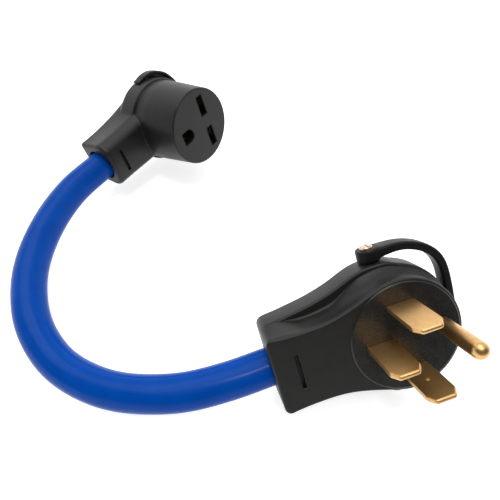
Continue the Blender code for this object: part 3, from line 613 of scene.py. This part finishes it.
def wall(z, g, in_f, in_b):
    """Ring at height z: g of the way from the front outline to the back one, each pulled in."""
    a = front - nf * np.reshape(in_f, (-1, 1))
    b = back - nb * np.reshape(in_b, (-1, 1))
    g = np.reshape(g, (-1, 1)) * np.ones((len(front), 1))
    p = a + (b - a) * g
    z = np.ones(len(front)) * z
    rings.append(np.column_stack([p, z]))


one = np.ones(len(front))
RF = 1.15                                      # softened rim of the front face
for k in range(9):
    a = math.pi / 2 * k / 8
    wall(-RF * (1 - math.cos(a)), 0 * one, RF * (1 - math.sin(a)) * one, 0 * one)
for z in np.linspace(-RF, LEDGE + 0.95, 16)[1:]:
    u = (-z - RF) / (-LEDGE - 0.95 - RF)
    scoop = 1.25 * np.sin(np.pi * min(1.0, u * 0.86)) ** 1.0 * (0.25 + 0.75 * sw)
    lin = -z / (-LEDGE + 1.2)
    g = (1 - sx) * lin + sx * 0.10 * u + sr * 0.58 * u ** 3
    wall(z, g, scoop * sx * (1 - 0.55 * sr) + 0.15 * (1 - sx) * math.sin(math.pi * u), 0 * one)
g0 = (1 - sx) * ((-LEDGE - 0.95) / (-LEDGE + 1.2)) + sx * 0.10 + sr * 0.58
s0 = 1.25 * np.sin(np.pi * 0.86) * (0.25 + 0.75 * sw) * sx * (1 - 0.55 * sr)
for k in range(1, 6):                           # root of the groove
    t = k / 5
    gg = g0 + (1 - sx) * 0.03 * t + sx * (1 - sr) * 0.18 * t * t
    wall(LEDGE + 0.95 - 0.95 * t * (0.75 + 0.25 * sx), gg, s0 * (1 - t) + 0.25 * sx * t, 0.0 * one)
z1 = LEDGE + 0.95 - 0.95 * (0.75 + 0.25 * sx)
for k in range(0, 9):                           # flange's front shoulder, rounded
    a = math.pi / 2 * k / 8
    RS = 1.0
    zz = (LEDGE - 0.15) - RS * (1 - math.cos(a))
    zz = z1 * (1 - k / 8) ** 2 + zz * (1 - (1 - k / 8) ** 2) if k < 3 else zz
    g_end = 1 - (1 - (np.minimum(g0, 1) + (1 - sx) * 0.03)) * (1 - math.sin(a)) * (1 - sx)
    wall(zz, sx + (1 - sx) * g_end, 0 * one, sx * RS * (1 - math.sin(a)))
for z in (-16.0, -18.0, -20.0, -22.0, -23.6):
    bow = 0.10 * math.sin(math.pi * (z + 14.2) / -9.4)
    wall(z, one, 0 * one, -bow * one)
RB = 2.6
for k in range(13):
    a = math.pi / 2 * k / 12
    wall(-DEPTH + RB + 0.5 - (RB + 0.5) * math.sin(a), one, 0 * one, RB * (1 - math.cos(a)) * one)

body = temp(skin(rings), "plug_shell")
well = turned([(20.3, -24.3), (20.3, -3.3), (CARRIER_R + 0.06, -3.3), (CARRIER_R + 0.06, 1.5)], 160)
tool = temp(well, "well")
cut(tool, block((-45.5, -9.3, -24.2), (-10.0, 9.3, -4.4)), 'UNION')
cut(tool, aimed(turned([(CORD_R + 0.25, -16), (CORD_R + 0.25, -1.6), (CORD_R + 0.7, -0.4), (CORD_R + 1.3, 0.6)], 96), (END_X, 0, PLUG_CORD_Z), (-1, 0, 0)), 'UNION')
cut(body, tool)
cut(body, mouth(-48.75, 0, 1.75, 16.4, 2.6, flare=0.22))
for s in (1, -1):
    cut(body, aimed(turned([(SCREW_R + 0.25, -9), (SCREW_R + 0.25, 0.5), (SCREW_R + 0.25, 2)], 32), (PIVOT_X, s * 30.0, PIVOT_Z), (0, s, 0)))
piece("plug_shell", body, PLUG, "adapter", ["plug_body"], M_BODY)

# ------------------------------------------------------------ pin face
disc = temp(turned(rounded([(0.02, -16.5), (19.9, -16.5), (20.0, -3.0), (CARRIER_R, -3.0), (CARRIER_R, CARRIER_FACE - 0.42), (CARRIER_R - 0.5, CARRIER_FACE), (23.4, CARRIER_FACE), (0.02, CARRIER_FACE)],
                           [0.5, 0, 0.1, 0.1, 0.12, 0.0], 6), 160), "disc")
for cx, cy in ((0, HOT_Y), (0, -HOT_Y), (NEUTRAL_X, 0)):
    cut(disc, block((cx - BLADE_W / 2 - 0.2, cy - BLADE_T / 2 - 0.2, -20), (cx + BLADE_W / 2 + 0.2, cy + BLADE_T / 2 + 0.2, 3)))
cut(disc, aimed(turned([(GROUND_D / 2 + 0.2, -3.4), (GROUND_D / 2 + 0.2, 0.3), (GROUND_D / 2 + 0.45, 0.6), (GROUND_D / 2 + 0.8, 1.0)], 48), (GROUND_X, 0, 0), (0, 0, 1)))
cut(disc, aimed(turned([(2.9, -20), (2.9, -2.0)], 32), (TAIL_X, 0, 0), (0, 0, 1)))
piece("pin_face", disc, PLUG, "adapter", ["plug_pin_carrier"], M_HARD)


# ------------------------------------------------------------ blades and ground pin
def blade(name, cx, cy, node, tail, hole=False):
    w, t, L, z0 = BLADE_W / 2, TIP_W / 2, BLADE_LEN, -17.1
    poly = [(-w, z0), (-4.0, z0), (-4.0, -23.4), (4.0, -23.4), (4.0, z0), (w, z0)] if tail else [(-w, z0), (w, z0)]
    poly += [(w, L - TIP_L), (t, L), (-t, L), (-w, L - TIP_L)]
    bm = bmesh.new()
    a = [bm.verts.new((cx + x, cy - BLADE_T / 2, z)) for x, z in poly]
    b = [bm.verts.new((cx + x, cy + BLADE_T / 2, z)) for x, z in poly]
    bm.faces.new(a)
    bm.faces.new(b[::-1])
    for i in range(len(poly)):
        j = (i + 1) % len(poly)
        bm.faces.new((a[i], b[i], b[j], a[j]))
    bmesh.ops.recalc_face_normals(bm, faces=bm.faces)
    bm.edges.ensure_lookup_table()
    tip = [e for e in bm.edges if all(v.co.z > L - TIP_L - 0.01 for v in e.verts)]
    bmesh.ops.bevel(bm, geom=tip, offset=0.90, segments=6, profile=0.5, affect='EDGES')
    rest = [e for e in bm.edges if e.calc_face_angle(0) > 0.9 and not all(v.co.z > L - TIP_L - 0.7 for v in e.verts)
            and all(v.co.z > -3 or v.co.z < -10 for v in e.verts)]
    bmesh.ops.bevel(bm, geom=rest, offset=0.30, segments=4, profile=0.5, affect='EDGES', clamp_overlap=True)
    me = bpy.data.meshes.new(name)
    bm.to_mesh(me)
    bm.free()
    o = bpy.data.objects.new(name, me)
    SCENE.collection.objects.link(o)
    if hole:
        cut(o, aimed(turned([(1.25, -1.7), (0.9, -BLADE_T / 2 + 0.22), (0.9, BLADE_T / 2 - 0.22), (1.25, 1.7)], 40), (cx, cy, 13.0), (0, 1, 0)))
    return piece(name, o, PLUG, "adapter", [node], M_BRASS)


blade("hot_blade_upper", 0, HOT_Y, "plug_blade_hot_upper", True)
blade("hot_blade_lower", 0, -HOT_Y, "plug_blade_hot_lower", True, hole=True)
blade("neutral_blade", NEUTRAL_X, 0, "plug_blade_neutral", False)

rg = GROUND_D / 2
prof = [(rg - 0.35, -2.9), (rg, -2.5), (rg, 6.0), (rg, 14.0), (rg, 22.0), (rg, GROUND_LEN - 3.5)]
for i in range(1, 17):
    a = math.radians(90 * i / 16)
    prof.append((max(0.02, rg * math.cos(a) ** 0.92), GROUND_LEN - 3.5 + 3.5 * math.sin(a)))
pin = temp(aimed(turned(prof, 72), (GROUND_X, 0, 0), (0, 0, 1)), "pin")
cut(pin, aimed(turned([(2.35, -23.2), (2.6, -22.9), (2.6, -2.0)], 40), (TAIL_X, 0, 0), (0, 0, 1)), 'UNION')
piece("ground_pin", pin, PLUG, "adapter", ["plug_ground_pin"], M_PIN)


# ------------------------------------------------------------ plug handle
def path_distance(px, py, path):
    """Distance in the XY plane to a polyline, and how far along it (0 to 1)."""
    best = np.full(np.shape(px), 1e9)
    along = np.zeros(np.shape(px))
    s = np.concatenate([[0], np.cumsum(np.linalg.norm(np.diff(path, axis=0), axis=1))])
    for i in range(len(path) - 1):
        a, b = path[i], path[i + 1]
        d = b - a
        t = np.clip(((px - a[0]) * d[0] + (py - a[1]) * d[1]) / (d @ d), 0, 1)
        q = np.hypot(px - a[0] - t * d[0], py - a[1] - t * d[1])
        m = q < best
        best = np.where(m, q, best)
        along = np.where(m, (s[i] + t * (s[i + 1] - s[i])) / s[-1], along)
    return best, along


half = catmull(STRAP_PATH, 60)
full = np.concatenate([half, (half[:-1] * [1, -1])[::-1]])
strap_path = soften(resample(full, 150), 2.5)
BAIL_LO, BAIL_HI, BAIL_H = (-8.8, -39.0, PIVOT_Z - 6.6), (36.6, 39.0, PIVOT_Z + 6.6), 0.42


def bail_field(x, y, z):
    d, u = path_distance(x, y, strap_path)
    e = np.minimum(u, 1 - u)
    th = STRAP_T / 2 + 0.45 * (1 - step(e, 0.0, 0.16))
    wd = STRAP_W / 2 + 0.7 * (1 - step(e, 0.02, 0.14))
    # the middle of the band is a little fuller than its edges
    strap = rmax(d - th + 0.16 * ((z - PIVOT_Z) / 4.0) ** 2, np.abs(z - PIVOT_Z) - wd, 1.15)
    eye = rmax(np.hypot(x - PIVOT_X, z - PIVOT_Z) - EYE_R, np.abs(np.abs(y) - (EYE_IN + EYE_OUT) / 2) - (EYE_OUT - EYE_IN) / 2, 0.65)
    return rmin(strap, eye, 1.6)


bail = temp(surface_net(bail_field, BAIL_LO, BAIL_HI, BAIL_H), "bail")
for s in (1, -1):
    cut(bail, aimed(turned([(EYE_HOLE_R, -7), (EYE_HOLE_R, 2.3), (EYE_HOLE_R + 0.35, 2.75), (EYE_HOLE_R + 2, 4.4)], 48), (PIVOT_X, s * (EYE_OUT - 2.7), PIVOT_Z), (0, s, 0)))
piece("pull_handle_plug", bail, PLUG, "plug_handle", ["plug_bail"], M_STRAP)

for s, tag in ((1, "upper"), (-1, "lower")):
    y0 = EYE_OUT + 0.12
    prof = rounded([(0.02, -11.0), (SCREW_R - 0.4, -11.0), (SCREW_R, -10.5), (SCREW_R, 0.0), (3.1, 0.0), (3.1, 0.75), (2.2, 1.55), (0.02, 1.7)],
                   [0.1, 0.2, 0.0, 0.08, 0.35, 0.6], 6)
    scr = temp(aimed(turned(prof, 64), (PIVOT_X, s * y0, PIVOT_Z), (0, s, 0)), "screw")
    cut(scr, block((PIVOT_X - 0.45, min(s * (y0 + 0.8), s * (y0 + 3)), PIVOT_Z - 3.4), (PIVOT_X + 0.45, max(s * (y0 + 0.8), s * (y0 + 3)), PIVOT_Z + 3.4)))
    piece("pivot_screw_" + tag, scr, PLUG, "adapter", ["plug_bail_screw_" + tag], M_SCREW)

# ============================================================ socket body
rear_w, front_w = Spline(NECK_REAR), Spline(NECK_FRONT)


def socket_field(x, y, z):
    r = np.hypot(x, y)
    # neck: flanks follow the width curves, front edges roll over, the end is softened
    t = step(z, -50.0, -32.0)
    w = rear_w(x) + (front_w(x) - rear_w(x)) * t
    sl = rear_w.slope(x)
    side = (np.abs(y) - w) / np.sqrt(1 + sl * sl)
    face = (z - NECK_Z + 0.013 * y * y) * 0.72
    n = rmax(side, face, 5.2)
    n = rmax(n, S_END_X - x, 2.0)
    n = rmax(n, -S_DEPTH - z, 2.4)
    n = np.maximum(n, x + 6.0)
    # rear flange: round, its back drawn in as a cone
    f = rmax(r - S_FLANGE_R, z + 34.0, 0.75)
    f = rmax(f, (r - S_FLANGE_R + (-z - 46.6) * 0.95) * 0.725, 1.0)
    f = rmax(f, -S_DEPTH - z, 1.2)
    # barrel
    R = BARREL_BASE_R + (BARREL_R - BARREL_BASE_R) * np.clip((z + 25.0) / 24.0, 0, 1.1)
    b = rmax((r - R) * 0.998, z, 0.7)
    b = np.maximum(b, -43.5 - z)
    base = rmin(n, f, 0.9)
    return rmin(base, b, 0.55)


SB = temp(surface_net(socket_field, (-56.0, -28.6, -54.4), (28.6, 28.6, 1.2), 0.46), "socket_shell")
tool = temp(turned([(BLOCK_R + 0.4, -45.8), (BLOCK_R + 0.4, -FACE_T)], 96), "well")
cut(tool, block((-43.5, -8.6, -47.4), (-8.0, 8.6, -31.4)), 'UNION')
cut(tool, aimed(turned([(CORD_R + 0.25, -14), (CORD_R + 0.25, -2.2), (CORD_R + 0.9, -0.7), (CORD_R + 1.9, 0.8)], 96), (S_END_X, 0, S_CORD_Z), (-1, 0, 0)), 'UNION')
for s in (1, -1):
    cut(tool, mouth(SLOT_X, s * SLOT_Y, SLOT_W, SLOT_L, FACE_T + 1, flare=0.28), 'UNION')
gw, gl = GND_W, GND_L
pts = [(GND_X - gw / 2, gl / 2), (GND_X - gw / 2, -gl / 2)]
bulge = min(gl / 2, gw * 0.45)
for i in range(25):
    a = -math.pi / 2 + math.pi * i / 24
    pts.append((GND_X + gw / 2 - bulge + bulge * math.cos(a), gl / 2 * math.sin(a)))
pts = np.array(pts)
mid = np.array([GND_X, 0.0])


def grown(g):
    q = pts - mid
    return mid + q * (1 + g / (gw / 2))


cut(tool, skin([np.column_stack([pts, np.full(len(pts), -FACE_T - 1)]), np.column_stack([pts, np.full(len(pts), -0.28)]),
                np.column_stack([grown(1.28), np.full(len(pts), 1.0)])]), 'UNION')
cut(SB, tool)
win = mouth(0, 0, 2.2, 14.8, 2.2, flare=0.15, top=2.5)
cut(SB, (win[0] + np.array([-44.3, 0, NECK_Z - 0.25]), win[1]))
for s in (1, -1):
    cut(SB, aimed(turned([(2.07, -4.0), (2.07, 0.0), (2.07, 1.2)], 40), (0, s * 26.8, SLING_Z), (0, s, 0)))
piece("socket_shell", SB, SOCKET, "adapter", ["socket_body"], M_BODY)


# ------------------------------------------------------------ socket handle
sling_half = catmull(SLING_PATH, 60)
sling_path = soften(resample(np.concatenate([sling_half, (sling_half[:-1] * [1, -1])[::-1]]), 160), 1.5)


def sling_field(x, y, z):
    d, u = path_distance(x, y, sling_path)
    e = np.minimum(u, 1 - u)
    dz = np.abs(z - SLING_Z)
    band = rmax(d - SLING_T / 2 + 0.5 * (1 - step(e, 0.0, 0.07)), dz - SLING_W / 2, 0.6)
    # thin web closing the gap from behind
    r = np.hypot(x, y)
    inner = SLING_WEB_R + 0.35 * step(np.arctan2(np.abs(y), x), 1.08, 1.30)
    web = np.maximum(inner - r, np.abs(z - SLING_Z + 1.125) - 1.6)
    web = np.maximum(web, rmax(r - np.interp(np.arctan2(np.abs(y), x), WEB_A, WEB_R), -1.6 - x, 0.3))
    stud = rmax(np.hypot(x, z - SLING_Z) - 2.0, np.abs(np.abs(y) - 25.5) - 2.1, 0.35)
    return rmin(rmin(band, web, 0.4), stud, 0.3)


_a = np.arctan2(sling_half[::-1, 1], sling_half[::-1, 0])
WEB_A, WEB_R = _a, np.hypot(sling_half[::-1, 0], sling_half[::-1, 1])
sling = temp(surface_net(sling_field, (-6.4, -30.4, SLING_Z - 4.4), (30.6, 30.4, SLING_Z + 4.4), 0.34), "sling")
piece("pull_handle_socket", sling, SOCKET, "socket_handle", ["socket_bail"], M_STRAP)

# ============================================================ cord
ctrl = [to_world(PLUG, (CORD_IN_PLUG + 12.5, 0, PLUG_CORD_Z))[0], to_world(PLUG, (CORD_IN_PLUG, 0, PLUG_CORD_Z))[0]]
ctrl += [np.array(p, float) for p in CORD_PATH]
ctrl += [to_world(SOCKET, (CORD_IN_SOCKET, 0, S_CORD_Z))[0], to_world(SOCKET, (CORD_IN_SOCKET + 11.5, 0, S_CORD_Z))[0]]
line = soften(catmull(ctrl, 300), 3.0)
T, U, V = sweep_frame(line)
arc = np.concatenate([[0], np.cumsum(np.linalg.norm(np.diff(line, axis=0), axis=1))])
NS = 64
th = 2 * np.pi * np.arange(NS) / NS


def ring_at(i, rad):
    return line[i] + (U[i] * np.cos(th)[:, None] + V[i] * np.sin(th)[:, None]) * np.reshape(rad, (-1, 1))


def pipe_skin(r_out, r_in):
    n = len(line)
    outer = [ring_at(i, r_out(i)) for i in range(n)]
    inner = [ring_at(i, r_in * np.ones(NS)) for i in range(n)][::-1]
    return skin(np.array(outer + inner), closed=True)


def cord_r(i):
    # three laid conductors show very faintly through the jacket
    a = th - 2 * np.pi * arc[i] / 124.0
    return CORD_R - 0.05 + 0.05 * np.cos(3 * a)


vf = pipe_skin(cord_r, CORD_BORE)
J = temp(vf, "jacket")
piece("cord_sheath", J, WORLD, "adapter", ["cord_jacket"], M_JACKET, weighted=False)
# the jacket's own coordinates run along it and round it
me = bpy.data.objects["cord_sheath"].data
row = np.repeat(np.concatenate([arc, arc[::-1]]), NS)
ang = np.tile(th, 2 * len(line))
a = me.attributes["local"]
a.data.foreach_set("vector", np.stack([row, 8.8 * np.cos(ang), 8.8 * np.sin(ang)], 1).astype(np.float32).ravel())

# ============================================================ carried-over inner pieces
PLAIN = {
    "plug_crimp_hot_upper": M_SLEEVE, "plug_crimp_hot_lower": M_SLEEVE, "plug_crimp_ground": M_SLEEVE,
    "socket_crimp_hot_upper": M_SLEEVE, "socket_crimp_hot_lower": M_SLEEVE, "socket_crimp_ground": M_SLEEVE,
    "socket_contact_hot_upper": M_CONTACT, "socket_contact_hot_lower": M_CONTACT, "socket_contact_ground": M_CONTACT,
    "socket_contact_block": M_HARD,
    "wire_ground_core": M_COPPER, "wire_hot_x_core": M_COPPER, "wire_hot_y_core": M_COPPER,
    "wire_ground_insulation": M_GREEN, "wire_hot_x_insulation": M_DARK, "wire_hot_y_insulation": M_WHITE,
    "cord_filler_a": M_FILLER, "cord_filler_b": M_FILLER, "cord_filler_c": M_FILLER,
}
for name, mat in PLAIN.items():
    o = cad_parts[name]
    o.data.materials.clear()
    o.data.materials.append(mat)
    if "local" not in o.data.attributes:
        at = o.data.attributes.new("local", 'FLOAT_VECTOR', 'POINT')
        co = np.zeros(len(o.data.vertices) * 3, np.float32)
        o.data.vertices.foreach_get("co", co)
        at.data.foreach_set("vector", co * 1000.0)
    o.data.shade_smooth()
    o.data.set_sharp_from_angle(angle=math.radians(40))
    if "contact" in name or "crimp" in name:
        bv = o.modifiers.new("edge", 'BEVEL')
        bv.width, bv.segments, bv.limit_method, bv.angle_limit = 0.00012, 2, 'ANGLE', math.radians(40)

# ============================================================ floor, light, camera
floor_me = bpy.data.meshes.new("floor")
bm = bmesh.new()
bmesh.ops.create_grid(bm, x_segments=2, y_segments=2, size=6.0)
bm.to_mesh(floor_me)
bm.free()
floor = bpy.data.objects.new("floor", floor_me)
SCENE.collection.objects.link(floor)
floor.location = (0, 0, min(0.0, CAD_LO.z) - 0.0003)
fm, fnt, fb = tree("floor_white")
fb.inputs["Base Color"].default_value = (0.75, 0.75, 0.75, 1)
fb.inputs["Emission Color"].default_value = (1, 1, 1, 1)
fb.inputs["Emission Strength"].default_value = 0.72
fb.inputs["Roughness"].default_value = 0.9
fb.inputs["Specular IOR Level"].default_value = 0.1
floor_me.materials.append(fm)

world = bpy.data.worlds.new("studio")
SCENE.world = world
world.use_nodes = True
wn = world.node_tree
bg = wn.nodes["Background"]
tc = wn.nodes.new("ShaderNodeTexCoord")
sep = wn.nodes.new("ShaderNodeSeparateXYZ")
wn.links.new(tc.outputs["Generated"], sep.inputs[0])
mr = wn.nodes.new("ShaderNodeMapRange")
mr.interpolation_type = 'SMOOTHSTEP'
mr.inputs["From Min"].default_value, mr.inputs["From Max"].default_value = -0.45, 0.55
mr.inputs["To Min"].default_value, mr.inputs["To Max"].default_value = 0.10, 1.35
wn.links.new(sep.outputs["Y"], mr.inputs["Value"])
mz = wn.nodes.new("ShaderNodeMapRange")
mz.interpolation_type = 'SMOOTHSTEP'
mz.inputs["From Min"].default_value, mz.inputs["From Max"].default_value = 0.0, 0.75
mz.inputs["To Min"].default_value, mz.inputs["To Max"].default_value = 1.25, 0.62
wn.links.new(sep.outputs["Z"], mz.inputs["Value"])
mul = wn.nodes.new("ShaderNodeMath")
mul.operation = 'MULTIPLY'
wn.links.new(mr.outputs["Result"], mul.inputs[0])
wn.links.new(mz.outputs["Result"], mul.inputs[1])
wn.links.new(mul.outputs[0], bg.inputs["Strength"])
bg.inputs["Color"].default_value = (1.0, 1.0, 0.995, 1)


def sun(name, toward, angle, power):
    d = bpy.data.lights.new(name, 'SUN')
    d.energy, d.angle = power, math.radians(angle)
    o = bpy.data.objects.new(name, d)
    SCENE.collection.objects.link(o)
    o.rotation_mode = 'QUATERNION'
    o.rotation_quaternion = Vector(toward).normalized().to_track_quat('-Z', 'Y')
    return o


sun("key", (0.30, -0.20, -1.0), 50, 1.1)
sun("top", (-0.05, 0.1, -1.0), 70, 0.8)
sun("front", (-0.26, 0.88, -0.42), 40, 0.04)
sun("strip", (0.0, 0.29, -0.956), 8, 0.45)

cam_d = bpy.data.cameras.new("camera")
cam = bpy.data.objects.new("camera", cam_d)
SCENE.collection.objects.link(cam)
POS = np.array([-1.138, -182.380, 215.484]) * MM
RIGHT = np.array([0.9980086, 0.0, 0.0630781])
DOWN = np.array([0.0406560, -0.7645765, -0.6432495])
FWD = np.array([0.0482281, 0.6445330, -0.7630539])
m = np.eye(4)
m[:3, 0], m[:3, 1], m[:3, 2], m[:3, 3] = RIGHT, -DOWN, -FWD, POS
cam.matrix_world = Matrix(m.tolist())
cam_d.sensor_width = 36.0
cam_d.lens = 36.0 * 457.5 / 500.0
cam_d.clip_start, cam_d.clip_end = 0.01, 20
SCENE.camera = cam

SCENE.view_settings.view_transform = 'Standard'
SCENE.view_settings.look = 'None'
SCENE.view_settings.exposure = 0.0
SCENE.view_settings.gamma = 1.0

bpy.context.view_layer.update()
